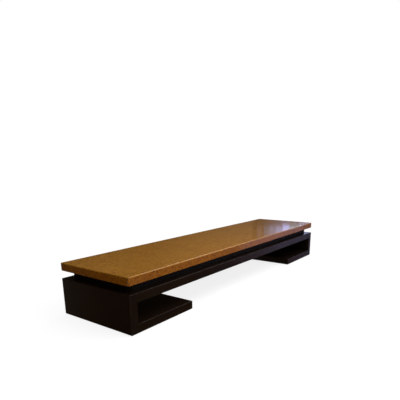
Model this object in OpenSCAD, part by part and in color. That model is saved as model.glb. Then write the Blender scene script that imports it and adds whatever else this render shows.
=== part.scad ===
// Low backless bench: a cork-faced seat slab floats on a recessed plinth, over a dark
// wood base whose two ends turn down and then back in along the floor.
// The origin is the middle of the footprint, on the floor. +X runs along the bench,
// +Y runs to the back, and +Z is up. All sizes are in millimetres.

/* [Base] */
// Length of the base
base_l = 2134; // [1500:1:2400]
// Depth of the base, front to back
base_w = 512; // [400:1:620]
// Height of the base, from the undersides of the foot boards to the top of the deck
base_h = 197; // [170:1:320]
// Thickness of every board of the base
board_t = 45; // [40:1:55]
// Length of each foot board along the floor
foot_l = 454; // [250:1:600]

/* [Plinth] */
// Height of the plinth between the deck and the seat slab
plinth_h = 41; // [36:1:60]
// How far the plinth is set in from each edge of the base
plinth_inset = 45; // [30:1:80]
// Thickness of the four outer rails
rail_t = 20; // [18:1:26]
// Width of the flat cross rails inside the plinth
cross_w = 70; // [60:1:90]
// Leg length of the corner blocks inside the plinth
block_w = 80; // [70:1:90]

/* [Seat slab] */
// How far the slab stops short of the base at each end
slab_short_l = 0; // [0:1:18]
// How far the slab stops short of the base at the front and at the back
slab_short_w = 2; // [0:1:18]
// Thickness of the seat slab
slab_t = 43; // [40:1:55]
// Thickness of the cork on the face and round the edges
cork_t = 6; // [5:0.5:8]
// Thickness of the balancing sheet under the core
backing_t = 3; // [1:0.5:4]
// Radius of the eased edges of the slab
arris_r = 3; // [1:0.5:4]

/* [Joints] */
// Thickness of the loose tongue in each mitre
tongue_t = 6; // [4:0.5:8]
// Width of the loose tongue, across the mitre
tongue_w = 26; // [18:1:28]
// How far each tongue stops short of the front and back edges
tongue_stop = 30; // [15:1:60]
// Diameter of the plinth's dowels
dowel_d = 8; // [6:1:10]
// Length of the plinth's dowels
dowel_l = 28; // [20:1:30]

/* [Fasteners and glides] */
// Diameter of the wood screws
screw_d = 5; // [4:0.5:6]
// Deck screws along each long rail of the plinth
deck_screw_n = 8; // [4, 8]
// How far a screw bites into the piece above
screw_bite = 28; // [20:1:30]
// Depth of the counterbores under the deck
deck_counterbore = 15; // [8:1:18]
// Depth of the counterbores under the cross rails and corner blocks
rail_counterbore = 12; // [6:1:16]
// Diameter of a glide
glide_d = 22; // [16:1:28]
// Height of a glide, which lifts the foot boards off the floor
glide_h = 3; // [2:0.5:5]
// Distance from a glide's middle to the edges of its foot board
glide_in = 48; // [40:1:70]

/* [Hidden] */
$fn = 64;

LEFT = -1;
RIGHT = 1;
FRONT = -1;
BACK = 1;
SIDES = [-1, 1];

// Heights above the floor
foot_z = glide_h;
deck_z = foot_z + base_h;
slab_z = deck_z + plinth_h;
slab_top = slab_z + slab_t;
cork_z = slab_top - cork_t;
core_z = slab_z + backing_t;
core_t = cork_z - core_z;

// Plan sizes
slab_l = base_l - 2 * slab_short_l;
slab_w = base_w - 2 * slab_short_w;
core_l = slab_l - 2 * cork_t;
core_w = slab_w - 2 * cork_t;
sheet_l = slab_l / 3;
plinth_l = base_l - 2 * plinth_inset;
plinth_w = base_w - 2 * plinth_inset;
inner_w = plinth_w - 2 * rail_t;
bay_l = plinth_l / 4;

// Clearances and the small sizes of the joints
fit = 0.1;
spare = 1;
over = 1;
tongue_in = board_t * 0.57;
tongue_l = base_w - 2 * tongue_stop;
dowel_gap = dowel_d / 2 + 6;
block_nose = 16;
block_screw = block_w * 0.36;

// Screw and glide shapes
head_d = 2 * screw_d;
head_h = 0.7 * screw_d;
point_l = 1.6 * screw_d;
counterbore_d = head_d + 6;
recess_w = 0.24 * screw_d;
recess_l = 1.2 * screw_d;
recess_h = 0.4 * screw_d;
nail_d = 2.5;
nail_l = 16;
nail_point = 3;
glide_edge = 2.5;
glide_rim = 0.4 * glide_h;
deck_screw_l = board_t - deck_counterbore + screw_bite;
top_screw_l = plinth_h - rail_counterbore + screw_bite;

// Places of the screws, as [x, y] pairs
deck_screws = [
  for (i = [0 : deck_screw_n - 1], s = SIDES)
    [((i + 0.5) / deck_screw_n - 0.5) * plinth_l, s * (plinth_w - rail_t) / 2]
];
cross_screws = [for (i = [-1 : 1], s = SIDES) [i * bay_l, s * inner_w / 4]];
block_screws = [
  for (sx = SIDES, sy = SIDES)
    [sx * (plinth_l / 2 - rail_t - block_screw), sy * (inner_w / 2 - block_screw)]
];
top_screws = concat(cross_screws, block_screws);

// Places of the dowels, at the front and back ends of every rail that runs across
cross_dowels = [
  for (i = [-1 : 1], s = SIDES, k = SIDES)
    [i * bay_l + k * cross_w / 4, s * inner_w / 2, deck_z + plinth_h / 2]
];
end_dowels = [
  for (sx = SIDES, s = SIDES, k = SIDES)
    [sx * (plinth_l - rail_t) / 2, s * inner_w / 2, deck_z + plinth_h / 2 + k * dowel_gap]
];
dowels = concat(cross_dowels, end_dowels);

// Colours
cork = "#86592a";
core_wood = "#c9a877";
backing_paint = "#1b1512";
ebonised = "#24160f";
plinth_black = "#0f0c0b";
beech = "#d8b98c";
zinc = "#8d8f92";

// A rectangle with round corners, made of true arcs
module rounded_rectangle(l, w, r) {
  square([l - 2 * r, w], center = true);
  square([l, w - 2 * r], center = true);
  for (sx = SIDES, sy = SIDES)
    translate([sx * (l / 2 - r), sy * (w / 2 - r)])
      circle(r = r);
}

// The outer form of the seat slab, with every edge eased
module slab_form() {
  translate([0, 0, slab_z + slab_t / 2])
    intersection() {
      linear_extrude(height = slab_t, center = true)
        rounded_rectangle(slab_l, slab_w, arris_r);
      rotate([90, 0, 0])
        linear_extrude(height = slab_w, center = true)
          rounded_rectangle(slab_l, slab_t, arris_r);
      rotate([90, 0, 90])
        linear_extrude(height = slab_l, center = true)
          rounded_rectangle(slab_w, slab_t, arris_r);
    }
}

// A box centred in x and y, with its underside at z
module block(size, x = 0, y = 0, z = 0) {
  translate([x - size[0] / 2, y - size[1] / 2, z])
    cube(size);
}

// An outline in x and z, drawn through the depth of the base
module board(outline) {
  rotate([90, 0, 0])
    linear_extrude(height = base_w, center = true)
      polygon(outline);
}

// The space of a loose tongue in the mitre at one end, at the top or at the foot
module tongue(side, top, gap) {
  z = top ? deck_z - tongue_in : foot_z + tongue_in;
  turn = top ? side * 45 : -side * 45;
  size = [tongue_w + 2 * gap, tongue_l + 2 * gap, tongue_t + 2 * gap];
  translate([side * (base_l / 2 - tongue_in), 0, z])
    rotate([0, turn, 0])
      cube(size, center = true);
}

// A pan-head wood screw, with its head below z = 0 and its point up
module screw(length) {
  difference() {
    union() {
      translate([0, 0, -head_h])
        cylinder(d = head_d, h = head_h);
      cylinder(d = screw_d, h = length - point_l);
      translate([0, 0, length - point_l])
        cylinder(d1 = screw_d, d2 = screw_d / 5, h = point_l);
    }
    block([recess_l, recess_w, recess_h + over], z = -head_h - over);
    block([recess_w, recess_l, recess_h + over], z = -head_h - over);
  }
}

// A clearance hole for a screw, from below z to above z + h
module clearance_hole(p, z, h) {
  translate([p[0], p[1], z - over])
    cylinder(d = screw_d + 1, h = h + 2 * over);
}

// A counterbore that opens downwards at z
module counterbore(p, z, depth) {
  translate([p[0], p[1], z - over])
    cylinder(d = counterbore_d, h = depth + over);
}

// A pilot hole that a screw fills, opening downwards at z
module pilot_hole(p, z, depth) {
  translate([p[0], p[1], z - over])
    cylinder(d = screw_d + 2 * fit, h = depth + over);
}

// A dowel that lies front to back, or its hole
module dowel(p, gap) {
  translate(p)
    rotate([90, 0, 0])
      cylinder(d = dowel_d + 2 * gap, h = dowel_l + (gap > 0 ? 2 * spare : 0), center = true);
}

module dowel_holes() {
  for (p = dowels)
    dowel(p, fit);
}

// A part of the face's cork, the first, second or third third of the length
module cork_sheet(i) {
  color(cork)
    intersection() {
      slab_form();
      block([sheet_l, slab_w + 2 * over, cork_t + over], x = i * sheet_l, z = cork_z);
    }
}

// A strip of cork along the front or back edge, under the face
module cork_long_edge(side) {
  color(cork)
    intersection() {
      slab_form();
      block([slab_l, cork_t, slab_t - cork_t], y = side * (slab_w - cork_t) / 2, z = slab_z);
    }
}

// A strip of cork across one end, between the long strips
module cork_short_edge(side) {
  color(cork)
    intersection() {
      slab_form();
      block([cork_t, core_w, slab_t - cork_t], x = side * (slab_l - cork_t) / 2, z = slab_z);
    }
}

module top_core() {
  color(core_wood)
    difference() {
      block([core_l, core_w, core_t], z = core_z);
      for (p = top_screws)
        pilot_hole(p, core_z, screw_bite - backing_t + spare);
    }
}

module top_backing() {
  color(backing_paint)
    difference() {
      block([core_l, core_w, backing_t], z = slab_z);
      for (p = top_screws)
        clearance_hole(p, slab_z, backing_t);
    }
}

module plinth_long_rail(side) {
  color(plinth_black)
    difference() {
      block([plinth_l, rail_t, plinth_h], y = side * (plinth_w - rail_t) / 2, z = deck_z);
      dowel_holes();
      for (p = deck_screws)
        pilot_hole(p, deck_z, screw_bite + spare);
    }
}

module plinth_end_rail(side) {
  color(plinth_black)
    difference() {
      block([rail_t, inner_w, plinth_h], x = side * (plinth_l - rail_t) / 2, z = deck_z);
      dowel_holes();
    }
}

module plinth_cross_rail(i) {
  color(core_wood)
    difference() {
      block([cross_w, inner_w, plinth_h], x = i * bay_l, z = deck_z);
      dowel_holes();
      for (p = cross_screws) {
        counterbore(p, deck_z, rail_counterbore);
        clearance_hole(p, deck_z, plinth_h);
      }
    }
}

// Glue blocks, one in each inner corner of the plinth
module plinth_corner_blocks() {
  outline = [[0, 0], [block_w, 0], [block_w, block_nose], [block_nose, block_w], [0, block_w]];
  color(core_wood)
    difference() {
      for (sx = SIDES, sy = SIDES)
        translate([sx * (plinth_l / 2 - rail_t), sy * inner_w / 2, deck_z])
          mirror([sx > 0 ? 1 : 0, 0, 0])
            mirror([0, sy > 0 ? 1 : 0, 0])
              linear_extrude(height = plinth_h)
                polygon(outline);
      for (p = block_screws) {
        counterbore(p, deck_z, rail_counterbore);
        clearance_hole(p, deck_z, plinth_h);
      }
    }
}

module plinth_dowels() {
  color(beech)
    for (p = dowels)
      dowel(p, 0);
}

module deck_panel() {
  under = deck_z - board_t;
  outline = [
    [-base_l / 2, deck_z], [base_l / 2, deck_z],
    [base_l / 2 - board_t, under], [board_t - base_l / 2, under]
  ];
  color(ebonised)
    difference() {
      board(outline);
      for (s = SIDES)
        tongue(s, true, fit);
      for (p = deck_screws) {
        counterbore(p, under, deck_counterbore);
        clearance_hole(p, under, board_t);
      }
    }
}

module end_panel(side) {
  outer = side * base_l / 2;
  inner = side * (base_l / 2 - board_t);
  outline = [
    [outer, foot_z], [outer, deck_z], [inner, deck_z - board_t], [inner, foot_z + board_t]
  ];
  color(ebonised)
    difference() {
      board(outline);
      tongue(side, true, fit);
      tongue(side, false, fit);
    }
}

// Places of the glides under one foot board, as [x, y] pairs
function glide_places(side) = [
  for (x = [glide_in, foot_l - glide_in], s = SIDES)
    [side * (base_l / 2 - x), s * (base_w / 2 - glide_in)]
];

module foot_panel(side) {
  outer = side * base_l / 2;
  toe = side * (base_l / 2 - foot_l);
  outline = [
    [outer, foot_z], [toe, foot_z], [toe, foot_z + board_t],
    [side * (base_l / 2 - board_t), foot_z + board_t]
  ];
  color(ebonised)
    difference() {
      board(outline);
      tongue(side, false, fit);
      for (p = glide_places(side))
        translate([p[0], p[1], foot_z - over])
          cylinder(d = nail_d + 2 * fit, h = nail_l + over + spare);
    }
}

module mitre_tongue(side, top) {
  color(beech)
    tongue(side, top, 0);
}

module top_fixing_screws() {
  color(zinc)
    for (p = top_screws)
      translate([p[0], p[1], deck_z + rail_counterbore])
        screw(top_screw_l);
}

module deck_fixing_screws() {
  color(zinc)
    for (p = deck_screws)
      translate([p[0], p[1], deck_z - board_t + deck_counterbore])
        screw(deck_screw_l);
}

// A nail-on glide: a flat steel button with a round edge, and its nail
module glide() {
  r = glide_d / 2;
  outline = [
    [0, 0], [r - glide_edge, 0], [r, glide_rim], [r, glide_h], [nail_d / 2, glide_h],
    [nail_d / 2, glide_h + nail_l - nail_point], [0, glide_h + nail_l]
  ];
  rotate_extrude()
    polygon(outline);
}

module glides(side) {
  color(zinc)
    for (p = glide_places(side))
      translate([p[0], p[1], 0])
        glide();
}

cork_sheet(-1);  // cork_sheet_left
cork_sheet(0);  // cork_sheet_middle
cork_sheet(1);  // cork_sheet_right
cork_long_edge(FRONT);  // cork_edge_front
cork_long_edge(BACK);  // cork_edge_back
cork_short_edge(LEFT);  // cork_edge_left
cork_short_edge(RIGHT);  // cork_edge_right
top_core();
top_backing();
plinth_long_rail(FRONT);  // plinth_rail_front
plinth_long_rail(BACK);  // plinth_rail_back
plinth_end_rail(LEFT);  // plinth_rail_left
plinth_end_rail(RIGHT);  // plinth_rail_right
plinth_cross_rail(-1);  // plinth_cross_rail_left
plinth_cross_rail(0);  // plinth_cross_rail_middle
plinth_cross_rail(1);  // plinth_cross_rail_right
plinth_corner_blocks();
plinth_dowels();
deck_panel();
end_panel(LEFT);  // end_panel_left
end_panel(RIGHT);  // end_panel_right
foot_panel(LEFT);  // foot_panel_left
foot_panel(RIGHT);  // foot_panel_right
mitre_tongue(LEFT, true);  // mitre_tongue_top_left
mitre_tongue(RIGHT, true);  // mitre_tongue_top_right
mitre_tongue(LEFT, false);  // mitre_tongue_foot_left
mitre_tongue(RIGHT, false);  // mitre_tongue_foot_right
top_fixing_screws();
deck_fixing_screws();
glides(LEFT);  // glides_left
glides(RIGHT);  // glides_right
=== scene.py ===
"""A low backless bench: lacquered cork slab, recessed black plinth, ebonised wood base.

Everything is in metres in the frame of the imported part: +X along the bench, +Y to the back, +Z up.
"""

import math

import bmesh
import bpy
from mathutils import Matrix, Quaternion, Vector, noise

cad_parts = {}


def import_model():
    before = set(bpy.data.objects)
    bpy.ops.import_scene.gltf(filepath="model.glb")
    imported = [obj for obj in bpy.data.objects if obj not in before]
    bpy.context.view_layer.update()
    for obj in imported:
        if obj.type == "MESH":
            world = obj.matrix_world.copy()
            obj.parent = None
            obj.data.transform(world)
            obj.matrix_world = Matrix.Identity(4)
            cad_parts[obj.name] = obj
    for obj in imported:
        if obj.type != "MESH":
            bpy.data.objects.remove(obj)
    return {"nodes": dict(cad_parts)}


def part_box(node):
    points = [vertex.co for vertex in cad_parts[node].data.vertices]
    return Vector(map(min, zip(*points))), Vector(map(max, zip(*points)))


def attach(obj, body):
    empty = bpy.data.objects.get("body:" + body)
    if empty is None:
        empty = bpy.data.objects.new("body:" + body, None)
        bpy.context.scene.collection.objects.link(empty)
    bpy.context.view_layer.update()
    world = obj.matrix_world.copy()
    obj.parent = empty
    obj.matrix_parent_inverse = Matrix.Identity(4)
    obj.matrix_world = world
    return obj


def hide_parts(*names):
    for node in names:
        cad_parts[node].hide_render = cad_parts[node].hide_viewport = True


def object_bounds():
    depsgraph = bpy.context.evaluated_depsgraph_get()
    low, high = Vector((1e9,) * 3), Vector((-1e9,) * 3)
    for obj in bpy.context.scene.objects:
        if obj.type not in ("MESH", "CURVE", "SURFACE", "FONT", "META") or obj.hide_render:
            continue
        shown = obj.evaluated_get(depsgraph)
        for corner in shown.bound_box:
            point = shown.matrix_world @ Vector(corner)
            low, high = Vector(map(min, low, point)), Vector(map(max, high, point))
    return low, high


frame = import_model()
CAD_LOW, CAD_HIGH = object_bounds()

MM = 0.001
ROOT = "root"

# ---------------------------------------------------------------- outlines and lofted solids

HAIRLINE = 0.2 * MM            # how far two pieces stay apart along a visible joint
ARC_STEPS = 6                  # straight parts to an arc
PARALLEL = 1e-4                # two sides whose cross product is under this are one line
MERGE = 0.002 * MM             # points nearer than this become one
NICK_OVER, NICK_GAIN = 0.12, 1.5        # noise over this makes a nick, and how fast it deepens
CHIP_OVER, CHIP_GAIN = 0.25, 2.2        # the same for chips, which are rarer
CHIP_TO_NICK = 4                        # how many times broader a chip is
CHIP_SHIFT = Vector((7.3, 1.9, 4.1))    # so that chips and nicks don't line up


def subdivided(points, weights, step):
    """The same outline with its long sides cut into equal lengths of about step."""
    out_points, out_weights = [], []
    for i, start in enumerate(points):
        end = points[(i + 1) % len(points)]
        cuts = max(1, round((end - start).length / step))
        for k in range(cuts):
            out_points.append(start.lerp(end, k / cuts))
            out_weights.append(weights[i])
    return out_points, out_weights


def shrink_vectors(points, weights):
    """How each point of a convex, anticlockwise outline moves as the outline shrinks.

    Side i, from point i to the next, moves in by its weight for each unit of shrinking.
    """
    vectors = []
    for i, point in enumerate(points):
        before = (point - points[i - 1]).normalized()
        after = (points[(i + 1) % len(points)] - point).normalized()
        n1, w1 = Vector((-before.y, before.x)), weights[i - 1]
        n2, w2 = Vector((-after.y, after.x)), weights[i]
        det = n1.x * n2.y - n1.y * n2.x
        if abs(det) < PARALLEL:
            vectors.append(n2 * w2)
        else:
            vectors.append(Vector((w1 * n2.y - w2 * n1.y, n1.x * w2 - n2.x * w1)) / det)
    return vectors


def arc(centre, radius, start_deg, end_deg):
    """Points of an arc in an outline's plane, both ends included."""
    angles = [math.radians(start_deg + (end_deg - start_deg) * k / ARC_STEPS)
              for k in range(ARC_STEPS + 1)]
    return [centre + radius * Vector((math.cos(a), math.sin(a))) for a in angles]


def rounded_levels(low, high, low_radius, high_radius):
    """(place along the axis, shrink) pairs for a solid whose two ends are rounded."""
    turns = [math.pi / 2 * k / ARC_STEPS for k in range(ARC_STEPS + 1)]
    start = [(low + low_radius * (1 - math.sin(a)), low_radius * (1 - math.cos(a)))
             for a in reversed(turns)]
    end = [(high - high_radius * (1 - math.sin(a)), high_radius * (1 - math.cos(a)))
           for a in turns]
    return start + end


def place(flat, along, axis):
    """A point of the outline at a level, in the frame.

    Outlines lie in xz for axis Y, and in xy for axis Z.
    """
    if axis == "Y":
        return Vector((flat.x, along, flat.y))
    return Vector((flat.x, flat.y, along))


def crumble(point, depth, size):
    """How far a worn edge is eaten back at a point: mostly nothing, with small nicks and chips."""
    nick = max(0.0, noise.noise(point / size) - NICK_OVER)
    chip = max(0.0, noise.noise(point / (size * CHIP_TO_NICK) + CHIP_SHIFT) - CHIP_OVER)
    return depth * (nick * NICK_GAIN + chip * CHIP_GAIN)


def linked(name, data):
    """A new object in the scene."""
    thing = bpy.data.objects.new(name, data)
    bpy.context.scene.collection.objects.link(thing)
    return thing


def even_out(piece):
    """Shades the flat faces flat and the rounded edges round."""
    even = piece.modifiers.new("even_normals", "WEIGHTED_NORMAL")
    even.weight = 100
    even.keep_sharp = True


def meshed(name, bm):
    """A mesh from a bmesh, which is used up."""
    mesh = bpy.data.meshes.new(name)
    bm.to_mesh(mesh)
    bm.free()
    return mesh


def skinned(bm, rings):
    """Closes a stack of rings: a band between each two, and a face on each end."""
    count = len(rings[0])
    for low, high in zip(rings, rings[1:]):
        for i in range(count):
            k = (i + 1) % count
            bm.faces.new((low[i], low[k], high[k], high[i]))
    bm.faces.new(rings[0][::-1])
    bm.faces.new(rings[-1])


def ring(bm, points, vectors, along, shrink, axis, wear):
    """The outline's points at one level, eaten back by wear where the edge is rounded."""
    middle = sum(points, Vector((0, 0))) / len(points)
    made = []
    for p, v in zip(points, vectors):
        spot = place(p + v * shrink, along, axis)
        if wear and shrink > 0:
            depth, size = wear
            inward = place(middle - p, 0, axis).normalized()
            spot += inward * crumble(spot, depth, size) * min(1.0, shrink / depth)
        made.append(bm.verts.new(spot))
    return made


def loft(name, points, weights, levels, axis, step, wear=None):
    """A closed mesh that stacks one shrinking outline along an axis.

    wear is (depth, size) of the nicks along the rounded edges, or None for a clean edge.
    """
    points, weights = subdivided(points, weights, step)
    vectors = shrink_vectors(points, weights)
    bm = bmesh.new()
    skinned(bm, [ring(bm, points, vectors, along, shrink, axis, wear) for along, shrink in levels])
    bmesh.ops.remove_doubles(bm, verts=bm.verts, dist=MERGE)
    bmesh.ops.recalc_face_normals(bm, faces=bm.faces)
    for face in bm.faces:
        face.smooth = True
    piece = linked(name, meshed(name, bm))
    even_out(piece)
    return piece


def finished(piece, node, material):
    """The piece takes the place of a CAD node, moves with it, and gets its material."""
    piece.data.materials.append(material)
    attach(piece, ROOT)
    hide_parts(node)
    return piece


# ---------------------------------------------------------------- materials


class Graph:
    """A material's node tree, with one short call for each node."""

    def __init__(self, name):
        self.material = bpy.data.materials.new(name)
        self.material.use_nodes = True
        self.tree = self.material.node_tree
        self.shader = self.tree.nodes["Principled BSDF"]
        self.point = self.add("ShaderNodeTexCoord").outputs["Object"]

    def add(self, kind, **settings):
        node = self.tree.nodes.new(kind)
        for key, value in settings.items():
            setattr(node, key, value)
        return node

    def put(self, socket, value):
        """Links a socket to the input, or sets the input to a plain value."""
        if isinstance(value, bpy.types.NodeSocket):
            self.tree.links.new(value, socket)
        else:
            socket.default_value = value

    def maths(self, operation, a, b=0.0):
        node = self.add("ShaderNodeMath", operation=operation)
        self.put(node.inputs[0], a)
        self.put(node.inputs[1], b)
        return node.outputs[0]

    def plus(self, a, b):
        return self.maths("ADD", a, b)

    def times(self, a, b):
        return self.maths("MULTIPLY", a, b)

    def vector(self, operation, a, b=(0, 0, 0)):
        node = self.add("ShaderNodeVectorMath", operation=operation)
        self.put(node.inputs[0], a)
        self.put(node.inputs[1], b)
        return node.outputs[0]

    def parts(self, vector):
        """The three parts of a vector or a colour."""
        node = self.add("ShaderNodeSeparateXYZ")
        self.put(node.inputs[0], vector)
        return node.outputs

    def joined(self, x, y, z):
        node = self.add("ShaderNodeCombineXYZ")
        for socket, value in zip(node.inputs, (x, y, z)):
            self.put(socket, value)
        return node.outputs[0]

    def cloud(self, point, scale, detail=2.0, rough=0.5, colour=False):
        """Soft noise, with scale patches to a metre."""
        node = self.add("ShaderNodeTexNoise")
        self.put(node.inputs["Vector"], point)
        node.inputs["Scale"].default_value = scale
        node.inputs["Detail"].default_value = detail
        node.inputs["Roughness"].default_value = rough
        return node.outputs["Color" if colour else "Fac"]

    def cells(self, point, scale, feature="F1"):
        """Outputs of a cell pattern, with scale cells to a metre."""
        node = self.add("ShaderNodeTexVoronoi", feature=feature)
        self.put(node.inputs["Vector"], point)
        node.inputs["Scale"].default_value = scale
        return node.outputs

    def ranged(self, value, low, high, to_low=0.0, to_high=1.0):
        """Maps low..high to to_low..to_high, and stays inside it."""
        node = self.add("ShaderNodeMapRange", clamp=True)
        for socket, v in zip(node.inputs, (value, low, high, to_low, to_high)):
            self.put(socket, v)
        return node.outputs[0]

    def ramp(self, value, *stops):
        """A colour from a number, through (position, colour) stops."""
        node = self.add("ShaderNodeValToRGB")
        self.put(node.inputs[0], value)
        elements = node.color_ramp.elements
        while len(elements) < len(stops):
            elements.new(0.5)
        for element, (position, colour) in zip(elements, stops):
            element.position = position
            element.color = (*colour, 1)
        return node.outputs[0]

    def mix(self, factor, a, b, blend="MIX"):
        node = self.add("ShaderNodeMix", data_type="RGBA", blend_type=blend)
        self.put(node.inputs["Factor"], factor)
        for key, value in (("A", a), ("B", b)):
            socket = next(s for s in node.inputs if s.name == key and s.type == "RGBA")
            self.put(socket, value if isinstance(value, bpy.types.NodeSocket) else (*value, 1))
        return next(s for s in node.outputs if s.type == "RGBA")

    def shaded(self, colour, level):
        """The colour made darker or lighter by a level, which is a number socket."""
        return self.mix(1.0, colour, self.joined(level, level, level), "MULTIPLY")

    def bump(self, height, depth, below=None):
        """A normal for a relief of that depth, on top of another one if given."""
        node = self.add("ShaderNodeBump")
        node.inputs["Strength"].default_value = 1.0
        node.inputs["Distance"].default_value = depth
        self.put(node.inputs["Height"], height)
        if below is not None:
            self.put(node.inputs["Normal"], below)
        return node.outputs[0]

    def finish(self, colour, roughness, normal=None, **fixed):
        """Connects the shader. fixed holds its uniform values, such as Coat_Weight."""
        self.put(self.shader.inputs["Base Color"], colour)
        self.put(self.shader.inputs["Roughness"], roughness)
        if normal is not None:
            self.put(self.shader.inputs["Normal"], normal)
        for key, value in fixed.items():
            self.shader.inputs[key.replace("_", " ")].default_value = value
        return self.material


RAGGED = 60                    # patches to a metre in the ragged border of a rubbed edge


def near_edge(g, node, reach):
    """1 on a box-shaped piece's edges, falling to 0 at reach from them."""
    low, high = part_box(node)
    away = g.vector("ABSOLUTE", g.vector("SUBTRACT", g.point, (low + high) / 2))
    x, y, z = list(g.parts(g.vector("SUBTRACT", (high - low) / 2, away)))
    smallest = g.maths("MINIMUM", g.maths("MINIMUM", x, y), z)
    largest = g.maths("MAXIMUM", g.maths("MAXIMUM", x, y), z)
    second = g.maths("SUBTRACT", g.maths("SUBTRACT", g.plus(g.plus(x, y), z), smallest), largest)
    ragged = g.times(g.cloud(g.point, RAGGED, 3, 0.65), reach)
    return g.ranged(g.plus(second, ragged), reach * 0.45, reach * 1.15, 1.0, 0.0)


CORK_LIGHT = (0.610, 0.290, 0.0340)
CORK_MIDDLE = (0.420, 0.172, 0.0150)
CORK_DARK = (0.190, 0.060, 0.0042)
CORK_FLECK = (0.120, 0.040, 0.0040)
EDGE_SHADE_AND_TINT = (0.62, 0.45, 0.08)          # the edge strips are redder than the face, and darker too as painted shade on the slab's sides
GRANULE = 210                  # granules to a metre
CRUMB = 640                    # fine crumbs between them
OUTLINE = 190                  # bends to a metre in the outline of a granule
OUTLINE_BEND = 4 * MM
CORK_PATCH = 68                # patches of lighter and darker granules
CORK_DRIFT = 2.4               # slow change of the whole colour
CORK_RUB = 5.5                 # duller and brighter patches of the lacquer
CORK_WAVE = 16                 # slow waves of the face under the lacquer
GRANULE_RELIEF = 0.03 * MM
WAVE_RELIEF = 0.10 * MM
GRANULE_SHARE, CRUMB_SHARE, PATCH_SHARE = 0.50, 0.15, 0.35      # of the tone
LACQUER_ROUGH = (0.28, 0.36)   # a lower value makes the denoiser drop its guide on dark patches
FACE_LACQUER, EDGE_LACQUER = 0.8, 0.25


def granular(g, shift):
    """Where to read the cork pattern: shifted for each piece, and bent so cells aren't straight."""
    spot = g.vector("ADD", g.point, shift)
    swing = g.vector("SUBTRACT", g.cloud(spot, OUTLINE, 2, 0.6, True), (0.5, 0.5, 0.5))
    bend = g.vector("SCALE", swing)
    bend.node.inputs["Scale"].default_value = OUTLINE_BEND
    return g.vector("ADD", spot, bend)


def cork_colour(g, spot, tone, fleck, gap, edge):
    """Light to dark granules, with dark flecks, darker gaps and a slow drift; on the edge strips a
    redder tint and painted shade.
    """
    colour = g.ramp(tone, (0.08, CORK_DARK), (0.48, CORK_MIDDLE), (0.92, CORK_LIGHT))
    colour = g.mix(g.times(g.ranged(fleck, 0.95, 0.97), 0.65), colour, CORK_FLECK)
    drift = g.ranged(g.cloud(spot, CORK_DRIFT, 3, 0.55), 0.3, 0.7, 0.955, 1.045)
    colour = g.shaded(colour, g.times(g.ranged(gap, 0.0, 0.09, 0.80, 1.0), drift))
    # on the edge strips: a redder tint, plus painted shade that darkens the slab's sides below the
    # face
    return g.mix(1.0, colour, EDGE_SHADE_AND_TINT, "MULTIPLY") if edge else colour


def cork(name, shift, edge=False):
    """Pressed cork of fine granules under an amber, half-gloss lacquer."""
    g = Graph(name)
    spot = granular(g, shift)
    granule = g.parts(g.cells(spot, GRANULE)["Color"])
    crumb = g.parts(g.cells(spot, CRUMB)["Color"])
    gap = g.cells(spot, GRANULE, "DISTANCE_TO_EDGE")["Distance"]
    patch = g.ranged(g.cloud(spot, CORK_PATCH, 3, 0.6), 0.32, 0.68)
    tone = g.plus(g.times(granule[0], GRANULE_SHARE), g.times(crumb[0], CRUMB_SHARE))
    tone = g.plus(tone, g.times(patch, PATCH_SHARE))
    rub = g.cloud(spot, CORK_RUB, 4, 0.62)
    roughness = g.plus(g.ranged(rub, 0.3, 0.7, *LACQUER_ROUGH), g.times(granule[2], 0.06))
    height = g.plus(g.times(g.ranged(gap, 0.0, 0.16), 0.7), g.times(tone, 0.5))
    normal = g.bump(g.cloud(spot, CORK_WAVE, 2), WAVE_RELIEF, g.bump(height, GRANULE_RELIEF))
    return g.finish(cork_colour(g, spot, tone, crumb[1], gap, edge), roughness, normal,
                    Coat_Weight=EDGE_LACQUER if edge else FACE_LACQUER, Coat_Roughness=0.075,
                    Specular_IOR_Level=0.3)


GRAIN_AXES = {"X": (0, 1, 2), "Y": (1, 0, 2), "Z": (2, 1, 0)}
GRAIN_STAVE = 0.104            # width of each stave that a board is glued up from
STAVE_SHIFT = 7.0              # how far apart along the grain two staves may be cut
STAVE_ASIDE = 0.9
FIGURE_STRETCH = 0.09          # the figure, streaks and pores are drawn out along the grain
STREAK_STRETCH = 0.045
PORE_STRETCH = 0.035
STREAK = 420                   # streaks to a metre across the grain
PORE = 1150
FIGURE_BEND = 9                # bends of the figure to a metre
FIGURE_SWING = (0.02, 0.05, 0.05)
HANDLED_PATCH = 4.5            # patches rubbed smoother or left duller by hands
RING_SHARE, STREAK_SHARE = 0.26, 0.74       # of the tone
RUBBED_REACH = 5 * MM
HANDLED = (-0.02, 0.05)        # how much handling changes the roughness


def grain_axes(g, grain):
    """The point's places along the grain, across it, and through the board."""
    axes = g.parts(g.point)
    return [axes[i] for i in GRAIN_AXES[grain]]


def stave_chance(g, across):
    """A chance value from 0 to 1 that is the same all over a stave."""
    chance = g.add("ShaderNodeTexWhiteNoise", noise_dimensions="1D")
    g.put(chance.inputs["W"], g.maths("FLOOR", g.maths("DIVIDE", across, GRAIN_STAVE)))
    return chance.outputs["Value"]


def growth_rings(g, at):
    """The broad figure of the wood, bent a little as it runs."""
    swing = g.vector("MULTIPLY", g.cloud(at, FIGURE_BEND, 3, 0.5, True), FIGURE_SWING)
    rings = g.add("ShaderNodeTexWave", wave_type="BANDS", bands_direction="Y", wave_profile="SIN")
    g.put(rings.inputs["Vector"], g.vector("ADD", at, swing))
    for key, value in (("Scale", 17), ("Distortion", 7.0), ("Detail", 3), ("Detail Scale", 0.8)):
        rings.inputs[key].default_value = value
    return rings.outputs["Fac"]


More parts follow.
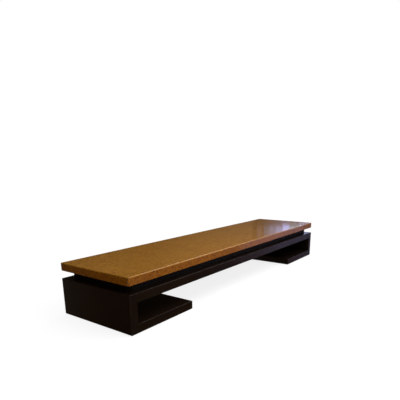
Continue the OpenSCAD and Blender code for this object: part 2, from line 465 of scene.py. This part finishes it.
def wood(name, node, grain, dark, light, worn, roughness, pore_depth, gloss):
    """Open-grained wood along an axis, glued up from staves, and rubbed lighter on its edges."""
    g = Graph(name)
    along, across, through = grain_axes(g, grain)
    own = stave_chance(g, across)
    shifted = g.plus(along, g.times(own, STAVE_SHIFT))
    sideways = g.plus(across, g.times(own, STAVE_ASIDE))

    def drawn_out(stretch):
        return g.joined(g.times(shifted, stretch), sideways, through)

    rings = growth_rings(g, drawn_out(FIGURE_STRETCH))
    streaks = g.cloud(drawn_out(STREAK_STRETCH), STREAK, 3, 0.6)
    pores = g.ranged(g.cloud(drawn_out(PORE_STRETCH), PORE, 1, 0.4), 0.60, 0.70)
    tone = g.plus(g.times(rings, RING_SHARE), g.times(streaks, STREAK_SHARE))
    colour = g.ramp(tone, (0.22, dark), (0.78, light))
    stave_shade = g.ranged(own, 0.0, 1.0, 0.86, 1.12)
    colour = g.shaded(colour, g.times(stave_shade, g.ranged(pores, 0, 1, 1.0, 0.6)))
    colour = g.mix(g.times(near_edge(g, node, RUBBED_REACH), 0.5), colour, worn)
    handled = g.ranged(g.cloud(g.point, HANDLED_PATCH, 4, 0.6), 0.3, 0.7, *HANDLED)
    rough = g.plus(g.plus(handled, roughness), g.times(pores, 0.16))
    relief = g.maths("SUBTRACT", g.times(streaks, 0.35), pores)
    return g.finish(colour, rough, g.bump(relief, pore_depth), Specular_IOR_Level=gloss)


PAINT_DARK = (0.0022, 0.0016, 0.0015)
PAINT_LIGHT = (0.0052, 0.0040, 0.0036)
PAINT_RUBBED = (0.012, 0.008, 0.006)
BRUSH_STRETCH = 0.05
BRUSH = 520                    # brush strokes to a metre
PAINT_PATCH = 9
PAINT_RELIEF = 0.03 * MM


def black_paint(name, node, grain):
    """Brushed black paint, slightly uneven, over planed wood."""
    g = Graph(name)
    along, across, through = grain_axes(g, grain)
    strokes = g.cloud(g.joined(g.times(along, BRUSH_STRETCH), across, through), BRUSH, 3, 0.6)
    patches = g.cloud(g.point, PAINT_PATCH, 4, 0.6)
    tone = g.plus(g.times(strokes, 0.5), g.times(patches, 0.5))
    colour = g.ramp(tone, (0.3, PAINT_DARK), (0.7, PAINT_LIGHT))
    colour = g.mix(g.times(near_edge(g, node, 3 * MM), 0.4), colour, PAINT_RUBBED)
    roughness = g.ranged(patches, 0.3, 0.7, 0.5, 0.66)
    return g.finish(colour, roughness, g.bump(strokes, PAINT_RELIEF), Specular_IOR_Level=0.3)


ZINC_DARK = (0.30, 0.31, 0.33)
ZINC_LIGHT = (0.52, 0.52, 0.53)
BLOOM = 160                    # dull patches to a metre
SCRATCH = 2600                 # rubbing marks, which run along Y
SCRATCH_STRETCH = (1, 0.12, 1)


def zinc(name):
    """Bright zinc plate, with a dull bloom and fine rubbing marks."""
    g = Graph(name)
    bloom = g.cloud(g.point, BLOOM, 4, 0.65)
    marks = g.cloud(g.vector("MULTIPLY", g.point, SCRATCH_STRETCH), SCRATCH, 2, 0.6)
    colour = g.ramp(bloom, (0.3, ZINC_DARK), (0.7, ZINC_LIGHT))
    roughness = g.plus(g.ranged(bloom, 0.3, 0.7, 0.28, 0.46), g.times(marks, 0.08))
    return g.finish(colour, roughness, g.bump(marks, 0.02 * MM), Metallic=1.0)


EBONY_DARK = (0.0048, 0.0020, 0.0009)
EBONY_LIGHT = (0.0136, 0.0062, 0.0026)
EBONY_WORN = (0.030, 0.013, 0.006)
PINE_DARK = (0.36, 0.22, 0.10)
PINE_LIGHT = (0.62, 0.45, 0.26)
BEECH_DARK = (0.50, 0.34, 0.19)
BEECH_LIGHT = (0.70, 0.52, 0.34)


def ebonised(name, node, grain):
    """Near-black stained wood with a satin finish that leaves its pores open."""
    return wood(name, node, grain, EBONY_DARK, EBONY_LIGHT, EBONY_WORN,
                roughness=0.31, pore_depth=0.05 * MM, gloss=0.42)


def bare(name, node, grain, dark, light):
    """Wood with no finish, for what is hidden."""
    return wood(name, node, grain, dark, light, light,
                roughness=0.62, pore_depth=0.10 * MM, gloss=0.35)


# ---------------------------------------------------------------- the cork slab

ARRIS = 3 * MM                 # radius of the slab's eased edges
CORK_STEP = 6 * MM             # spacing of the points that the nicks move
CORK_WEAR = (0.35 * MM, 5 * MM)
SHEET_SHIFT = {"left": 0.0, "middle": 3.1, "right": 6.7}       # so that no two pieces look alike
EDGE_SHIFT = {"front": 1.3, "back": 2.9, "left": 4.7, "right": 5.9}


def plan_outline(low, high, outer):
    """A rectangle seen from above, and a weight for each side. outer names its sides that show.

    A corner between two outer sides is rounded. A side that meets another piece shrinks by a
    hairline only.
    """
    joint = HAIRLINE / ARRIS
    points, weights = [], []
    corners = [
        (low.x, low.y, "left", "front", 1, 1, 180),
        (high.x, low.y, "front", "right", -1, 1, 270),
        (high.x, high.y, "right", "back", -1, -1, 0),
        (low.x, high.y, "back", "left", 1, -1, 90),
    ]
    for x, y, before, after, sx, sy, turn in corners:
        weight = 1.0 if after in outer else joint
        if before in outer and after in outer:
            rounded = arc(Vector((x + sx * ARRIS, y + sy * ARRIS)), ARRIS, turn, turn + 90)
            points += rounded
            weights += [1.0] * (len(rounded) - 1) + [weight]
        else:
            points.append(Vector((x, y)))
            weights.append(weight)
    return points, weights


def cork_sheet(side):
    """A face sheet, with rounded edges at the front, the back and its own end of the slab."""
    node = "cork_sheet_" + side
    low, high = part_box(node)
    points, weights = plan_outline(low, high, ("front", "back", side))
    levels = rounded_levels(low.z, high.z, HAIRLINE, ARRIS)
    piece = loft(node + "_finished", points, weights, levels, "Z", CORK_STEP, CORK_WEAR)
    shift = SHEET_SHIFT[side]
    return finished(piece, node, cork("cork_" + side, (shift, shift * 0.37, 0)))


def cork_edge(side):
    """A strip under the face sheets. Its inner side and its ends at a butt joint stay square."""
    node = "cork_edge_" + side
    low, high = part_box(node)
    outer = ("left", "right", side) if side in ("front", "back") else (side,)
    points, weights = plan_outline(low, high, outer)
    levels = rounded_levels(low.z, high.z, ARRIS, HAIRLINE)
    piece = loft(node + "_finished", points, weights, levels, "Z", CORK_STEP, CORK_WEAR)
    shift = EDGE_SHIFT[side]
    material = cork("cork_" + side + "_edge", (shift, 0, shift * 0.61), True)
    return finished(piece, node, material)


# ---------------------------------------------------------------- the dark wood base

CORNER = 2.0 * MM              # radius where two boards meet outside, across the mitre
EASE = 1.2 * MM                # radius of the boards' other edges
WOOD_JOINT = HAIRLINE / EASE   # weight of a side that meets another board
WOOD_STEP = 24 * MM
WOOD_WEAR = (0.12 * MM, 14 * MM)
TO_MITRE, FROM_MITRE = True, False
DECK_SCREWS = 8                # screws up through the deck into each long rail of the plinth
WELL_RADIUS = 8 * MM
WELL_DEPTH = 15 * MM
WELL_SIDES = 36
WELL_SHARP = 40                # degrees over which an edge of the bored board stays sharp


def half_corner(x, z, sx, sz, face, to_mitre):
    """One board's half of a rounded outer corner, between its own face and the mitre.

    sx and sz point from the corner into the bench, and the board's face is level or upright.
    """
    centre = Vector((x + sx * CORNER, z + sz * CORNER))
    mitre = math.degrees(math.atan2(-sz, -sx))
    start = math.degrees(math.atan2(-sz, 0) if face == "level" else math.atan2(0, -sx))
    turn = (mitre - start + 180) % 360 - 180
    points = arc(centre, CORNER, start, start + turn)
    return points if to_mitre else points[::-1]


def toe(x, z, sx, sz, start):
    """A rounded corner at a foot board's free end."""
    return arc(Vector((x + sx * CORNER, z + sz * CORNER)), CORNER, start, start + 90)


def outline_of(corners):
    """An outline from its corners, each given as (points, weight of the side that follows)."""
    points, weights = [], []
    for group, weight in corners:
        points += group
        weights += [1.0] * (len(group) - 1) + [weight]
    return points, weights


def board(node, corners, material):
    """A board from its outline seen from the front, eased along its front and back edges."""
    low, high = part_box(node)
    points, weights = outline_of(corners)
    levels = rounded_levels(low.y, high.y, EASE, EASE)
    piece = loft(node + "_finished", points, weights, levels, "Y", WOOD_STEP, WOOD_WEAR)
    return finished(piece, node, material)


def under_deck_wells():
    """Where the screws go up through the deck: evenly along the two long rails of the plinth."""
    spots = []
    for side in ("front", "back"):
        low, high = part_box("plinth_rail_" + side)
        for k in range(DECK_SCREWS):
            along = low.x + (high.x - low.x) * (k + 0.5) / DECK_SCREWS
            spots.append(Vector((along, (low.y + high.y) / 2)))
    return spots


def round_bars(spots, radius, low, high):
    """Upright round bars from low to high, in one mesh, to cut with."""
    bm = bmesh.new()
    turns = [math.tau * k / WELL_SIDES for k in range(WELL_SIDES)]
    for spot in spots:
        skinned(bm, [[bm.verts.new((spot.x + radius * math.cos(a), spot.y + radius * math.sin(a), z))
                      for a in turns] for z in (low, high)])
    return linked("wells", meshed("wells", bm))


def bored(piece, cutter):
    """Cuts one mesh out of a piece for good, and removes the cutter."""
    piece.modifiers.clear()
    cut = piece.modifiers.new("wells", "BOOLEAN")
    cut.operation = "DIFFERENCE"
    cut.solver = "EXACT"
    cut.object = cutter
    seen = piece.evaluated_get(bpy.context.evaluated_depsgraph_get())
    solid = bpy.data.meshes.new_from_object(seen)
    piece.modifiers.clear()
    piece.data = solid
    bpy.data.objects.remove(cutter)
    solid.set_sharp_from_angle(angle=math.radians(WELL_SHARP))
    even_out(piece)


def deck():
    """The top board, mitred at both ends, with its screw wells underneath."""
    node = "deck_panel"
    low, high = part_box(node)
    thick = high.z - low.z
    corners = [
        ([Vector((low.x + thick, low.z))], 1.0),
        ([Vector((high.x - thick, low.z))], WOOD_JOINT),
        (half_corner(high.x, high.z, -1, -1, "level", FROM_MITRE), 1.0),
        (half_corner(low.x, high.z, 1, -1, "level", TO_MITRE), WOOD_JOINT),
    ]
    piece = board(node, corners, ebonised("ebonised_deck", node, "X"))
    low_end = low.z - WELL_RADIUS
    bored(piece, round_bars(under_deck_wells(), WELL_RADIUS, low_end, low.z + WELL_DEPTH))
    return piece


def end_panel(side):
    """An upright end board, mitred at the top and at the bottom."""
    node = "end_panel_" + side
    low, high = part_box(node)
    thick = high.x - low.x
    if side == "left":
        corners = [
            (half_corner(low.x, low.z, 1, 1, "upright", TO_MITRE), WOOD_JOINT),
            ([Vector((high.x, low.z + thick))], 1.0),
            ([Vector((high.x, high.z - thick))], WOOD_JOINT),
            (half_corner(low.x, high.z, 1, -1, "upright", FROM_MITRE), 1.0),
        ]
    else:
        corners = [
            ([Vector((low.x, low.z + thick))], WOOD_JOINT),
            (half_corner(high.x, low.z, -1, 1, "upright", FROM_MITRE), 1.0),
            (half_corner(high.x, high.z, -1, -1, "upright", TO_MITRE), WOOD_JOINT),
            ([Vector((low.x, high.z - thick))], 1.0),
        ]
    return board(node, corners, ebonised("ebonised_end_" + side, node, "Z"))


def foot_panel(side):
    """A foot board along the floor, mitred at its outer end and rounded at its free end."""
    node = "foot_panel_" + side
    low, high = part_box(node)
    thick = high.z - low.z
    if side == "left":
        corners = [
            (half_corner(low.x, low.z, 1, 1, "level", FROM_MITRE), 1.0),
            (toe(high.x, low.z, -1, 1, 270), 1.0),
            (toe(high.x, high.z, -1, -1, 0), 1.0),
            ([Vector((low.x + thick, high.z))], WOOD_JOINT),
        ]
    else:
        corners = [
            (toe(low.x, low.z, 1, 1, 180), 1.0),
            (half_corner(high.x, low.z, -1, 1, "level", TO_MITRE), WOOD_JOINT),
            ([Vector((high.x - thick, high.z))], 1.0),
            (toe(low.x, high.z, 1, -1, 90), 1.0),
        ]
    return board(node, corners, ebonised("ebonised_foot_" + side, node, "X"))


# ---------------------------------------------------------------- the plinth and what is hidden

PINE_GRAIN = {"top_core": "X", "plinth_cross_rail_left": "Y", "plinth_cross_rail_middle": "Y",
              "plinth_cross_rail_right": "Y", "plinth_corner_blocks": "X"}
BEECH_NODES = ("plinth_dowels", "mitre_tongue_top_left", "mitre_tongue_top_right",
               "mitre_tongue_foot_left", "mitre_tongue_foot_right")
ZINC_NODES = ("top_fixing_screws", "deck_fixing_screws", "glides_left", "glides_right")


def plinth_rail(side):
    """A planed rail with square edges, a hairline short of the pieces above and below it."""
    node = "plinth_rail_" + side
    low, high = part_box(node)
    corners = [(low.x, low.y), (high.x, low.y), (high.x, high.y), (low.x, high.y)]
    levels = rounded_levels(low.z, high.z, HAIRLINE, HAIRLINE)
    piece = loft(node + "_finished", [Vector(c) for c in corners], [1.0] * len(corners), levels,
                 "Z", WOOD_STEP)
    grain = "X" if side in ("front", "back") else "Y"
    return finished(piece, node, black_paint("plinth_paint_" + side, node, grain))


def keep(node, material):
    """A CAD node whose shape is right as it is, with a better material."""
    for slot in frame["nodes"][node].material_slots:
        slot.material = material


def hidden_pieces():
    """Materials for the CAD nodes that stay: the core, the frame, the joints and the fixings."""
    for node, grain in PINE_GRAIN.items():
        keep(node, bare("pine_" + node, node, grain, PINE_DARK, PINE_LIGHT))
    for node in BEECH_NODES:
        keep(node, bare("beech_" + node, node, "Y", BEECH_DARK, BEECH_LIGHT))
    keep("top_backing", black_paint("backing_paint", "top_backing", "X"))
    plated = zinc("zinc_plate")
    for node in ZINC_NODES:
        keep(node, plated)


# ---------------------------------------------------------------- camera, floor and backdrop

CAMERA_AT = Vector((-2.1986, -1.5114, 0.7487))
CAMERA_HEADING = 52.858        # degrees from +Y towards +X
CAMERA_PITCH = -15.381
CAMERA_ROLL = -0.668
CAMERA_LENS = 35.016
CAMERA_SHIFT = 0.1881
WHITE = (1.0, 1.0, 1.0)
FLOOR_HALF = 28.0              # the floor reaches nearly to the backdrop
FLOOR_PAINT = (0.28, 0.28, 0.28)
FLOOR_GLOW = 0.83
BACKDROP_RADIUS = 30.0
ROOM_RADIUS = 34.0
ROOM_BACK = (0.020, 0.018, 0.014)
ROOM_GLOW = (0.130, 0.086, 0.056)       # the wall behind the bench, next to the window
GLOW_FROM = 44.0               # degrees from +Y towards +X, as the camera's heading is
GLOW_TO = 61.1
ROOM_FRONT = (0.060, 0.045, 0.030)
ROOM_FLOOR = (0.045, 0.020, 0.006)


def camera():
    """The photo's viewing angle and framing."""
    data = bpy.data.cameras.new("camera")
    data.sensor_width = 36
    data.lens = CAMERA_LENS
    data.shift_y = CAMERA_SHIFT
    data.dof.use_dof = False
    eye = linked("camera", data)
    heading = Quaternion((0, 0, 1), math.radians(-CAMERA_HEADING))
    pitch = Quaternion((1, 0, 0), math.radians(90 + CAMERA_PITCH))
    roll = Quaternion((0, 0, 1), math.radians(CAMERA_ROLL))
    eye.rotation_mode = "QUATERNION"
    eye.rotation_quaternion = heading @ pitch @ roll
    eye.location = CAMERA_AT
    bpy.context.scene.camera = eye


def only_seen_by(thing, camera=False, diffuse=False, glossy=False):
    thing.visible_camera = camera
    thing.visible_diffuse = diffuse
    thing.visible_glossy = glossy


def floor():
    """A plain pale floor that glows a little, so that shadows on it stay light."""
    reach = FLOOR_HALF
    mesh = bpy.data.meshes.new("floor")
    corners = [(-reach, -reach, 0), (reach, -reach, 0), (reach, reach, 0), (-reach, reach, 0)]
    mesh.from_pydata(corners, [], [(0, 1, 2, 3)])
    ground = linked("floor", mesh)
    g = Graph("pale_floor")
    tint = g.ranged(g.cloud(g.point, 1.2, 3), 0.3, 0.7, 0.97, 1.0)
    pale = g.mix(1.0, FLOOR_PAINT, g.joined(tint, tint, tint), "MULTIPLY")
    mesh.materials.append(g.finish(pale, 0.9, Specular_IOR_Level=0.0, Emission_Color=(*WHITE, 1),
                                   Emission_Strength=FLOOR_GLOW))
    only_seen_by(ground, camera=True)
    ground.visible_shadow = False


def shell(name, radius, glow, **seen_by):
    """A large sphere round the scene that gives off its own light and casts no shadow."""
    bm = bmesh.new()
    bmesh.ops.create_uvsphere(bm, u_segments=48, v_segments=24, radius=radius)
    around = linked(name, meshed(name, bm))
    g = Graph(name)
    g.tree.nodes.remove(g.shader)
    emission = g.add("ShaderNodeEmission")
    g.put(emission.inputs["Color"], glow(g))
    g.tree.links.new(emission.outputs[0], g.tree.nodes["Material Output"].inputs["Surface"])
    around.data.materials.append(g.material)
    only_seen_by(around, **seen_by)
    around.visible_shadow = False
    around.visible_transmission = False


def white_backdrop(g):
    return (*WHITE, 1)


def dim_room(g):
    """What the lacquer mirrors: a dim room with a brown floor, lighter in front of the bench.

    The wall behind the bench glows more and more towards the window, and stops at its edge.
    """
    facing = g.parts(g.vector("NORMALIZE", g.point))
    front = g.times(facing[1], -1.0)
    heading = g.maths("ARCTAN2", facing[0], facing[1])
    glow = g.ranged(heading, math.radians(GLOW_FROM), math.radians(GLOW_TO))
    glow = g.times(glow, g.maths("LESS_THAN", heading, math.radians(GLOW_TO)))
    back = g.mix(glow, ROOM_BACK, ROOM_GLOW)
    walls = g.mix(g.ranged(front, -0.5, 0.8), back, ROOM_FRONT)
    return g.mix(g.ranged(facing[2], -0.10, 0.02), ROOM_FLOOR, walls)


# ---------------------------------------------------------------- light

FILL_LEVEL = 0.42              # soft light from all round
FILL_TILT = (0.355, -0.27, 0.375)       # and how much stronger it is towards each axis
FROM_BACK, FROM_RIGHT, FROM_FRONT, FROM_LEFT = 0.0, 90.0, 180.0, 270.0     # headings
TOP = CAD_HIGH.z
BELOW_FLOOR = 0.02             # where the low panels' directions start
WARM_WHITE = (1.0, 0.95, 0.88)
SOFT_WHITE = (1.0, 0.98, 0.95)
BOX_WHITE = (1.0, 0.98, 0.96)
PALE_LILAC = (0.74, 0.75, 1.0)
LILAC = (0.54, 0.56, 1.0)
LAMP_AMBER = (1.0, 0.88, 0.6)
PANE_AWAY = 8.0
PANE_TOP = 16.0                # degrees above level
# The panes of the window that the far end of the top mirrors: left and right side and foot, in
# degrees as window_pane takes them, then radiance and colour.
WINDOW_PANES = (
    (61.3, 62.0, 8.2, 0.10, (0.90, 0.75, 1.0)),
    (62.3, 63.1, 8.2, 0.26, (0.25, 0.60, 1.0)),
    (63.1, 64.1, 8.1, 0.52, (0.34, 0.54, 1.0)),
    (64.1, 65.0, 8.2, 0.95, (0.44, 0.55, 1.0)),
    (65.0, 65.9, 8.0, 1.9, (0.46, 0.53, 1.0)),
    (65.9, 67.4, 8.1, 0.80, (0.52, 0.77, 1.0)),
    (67.4, 74.0, 8.2, 3.0, (0.59, 0.65, 1.0)),
)


def world():
    """Soft light from above, from the front and from the right, so the left end is in shade."""
    sky = bpy.data.worlds.new("studio")
    sky.use_nodes = True
    tree = sky.node_tree
    tilt = tree.nodes.new("ShaderNodeVectorMath")
    tilt.operation = "DOT_PRODUCT"
    direction = tree.nodes.new("ShaderNodeTexCoord").outputs["Generated"]
    tree.links.new(direction, tilt.inputs[0])
    tilt.inputs[1].default_value = FILL_TILT
    last = tilt.outputs["Value"]
    for operation, value in (("ADD", FILL_LEVEL), ("MAXIMUM", 0.0)):
        step = tree.nodes.new("ShaderNodeMath")
        step.operation = operation
        tree.links.new(last, step.inputs[0])
        step.inputs[1].default_value = value
        last = step.outputs[0]
    background = tree.nodes["Background"]
    background.inputs["Color"].default_value = (*WHITE, 1)
    tree.links.new(last, background.inputs["Strength"])
    bpy.context.scene.world = sky
    sky.cycles_visibility.glossy = False


def towards(heading, height):
    """A direction from its heading, in degrees from +Y towards +X, and its height above level."""
    a, e = math.radians(heading), math.radians(height)
    return Vector((math.sin(a) * math.cos(e), math.cos(a) * math.cos(e), math.sin(e)))


def panel(name, start, heading, height, distance, size, radiance, colour,
          diffuse=False, glossy=True):
    """A soft box at a distance from start in a given direction, facing start."""
    data = bpy.data.lights.new(name, "AREA")
    data.shape = "RECTANGLE"
    data.size, data.size_y = size
    data.color = colour
    data.energy = radiance * math.pi * size[0] * size[1]
    box = linked(name, data)
    box.location = Vector(start) + towards(heading, height) * distance
    box.rotation_mode = "QUATERNION"
    box.rotation_quaternion = towards(heading, height).to_track_quat("Z", "Y")
    only_seen_by(box, diffuse=diffuse, glossy=glossy)


def window_pane(name, left, right, foot, radiance, colour):
    """An upright pane mirrored in the top, between two headings from the camera's mirror image."""
    mirrored_eye = Vector((CAMERA_AT.x, CAMERA_AT.y, 2 * TOP - CAMERA_AT.z))
    width = PANE_AWAY * math.radians(right - left)
    tall = PANE_AWAY * math.radians(PANE_TOP - foot)
    middle = (foot + PANE_TOP) / 2
    panel(name, mirrored_eye, (left + right) / 2, middle, PANE_AWAY, (width, tall),
          radiance, colour)


def panels():
    """The lights. Most are only mirrored: the window, its glow on the far end, and the arris."""
    for number, pane in enumerate(WINDOW_PANES, 1):
        window_pane("window_pane_%d" % number, *pane)
    panel("window_side", (0.75, -0.15, TOP), 95.0, 24.0, 4.0, (2.0, 1.0), 0.9, PALE_LILAC)
    panel("floor_glow", (0.7, CAD_LOW.y, 0.18), 119.5, -1.0, 3.2, (1.0, 1.4), 0.95, LILAC)
    panel("soft_box", (-0.5, CAD_LOW.y, TOP), 122.0, 37.0, 1.9, (1.3, 1.3), 3.0, BOX_WHITE)
    panel("key", (-0.15, CAD_LOW.y, TOP), FROM_FRONT, 55.0, 1.0, (1.5, 0.6), 2.75, SOFT_WHITE,
          diffuse=True, glossy=False)
    panel("arris_light", (0.55, CAD_LOW.y, TOP), FROM_FRONT, 55.0, 1.0, (2.4, 0.35), 2.3,
          SOFT_WHITE)
    panel("left_glow", (CAD_LOW.x, CAD_LOW.y - 0.04, TOP), 266.0, 5.0, 0.5, (0.4, 0.3), 0.6,
          LAMP_AMBER, diffuse=True, glossy=False)


def low_panels():
    """Panels below the floor, for the dark base to mirror in views from the other sides."""
    panel("low_back", (-0.8, CAD_HIGH.y, BELOW_FLOOR), FROM_BACK, -16.0, 1.4, (1.5, 0.6), 0.45,
          WARM_WHITE)
    panel("low_right", (CAD_HIGH.x, 0.65, BELOW_FLOOR), FROM_RIGHT, -14.0, 1.5, (1.3, 0.6), 0.35,
          WARM_WHITE)
    panel("low_left", (CAD_LOW.x, -0.65, BELOW_FLOOR), FROM_LEFT, -14.0, 1.5, (1.3, 0.6), 0.25,
          WARM_WHITE)
    panel("low_front", (-1.3, CAD_LOW.y, BELOW_FLOOR), FROM_FRONT, -14.0, 1.5, (1.3, 0.6), 0.25,
          WARM_WHITE)


# ---------------------------------------------------------------- build

for side in ("left", "middle", "right"):
    cork_sheet(side)
for side in ("front", "back", "left", "right"):
    cork_edge(side)
    plinth_rail(side)
deck()
for side in ("left", "right"):
    end_panel(side)
    foot_panel(side)
hidden_pieces()

camera()
floor()
shell("backdrop", BACKDROP_RADIUS, white_backdrop, camera=True)
shell("room", ROOM_RADIUS, dim_room, glossy=True)
world()
panels()
low_panels()
bpy.context.scene.view_settings.view_transform = "Standard"
bpy.context.scene.view_settings.look = "None"
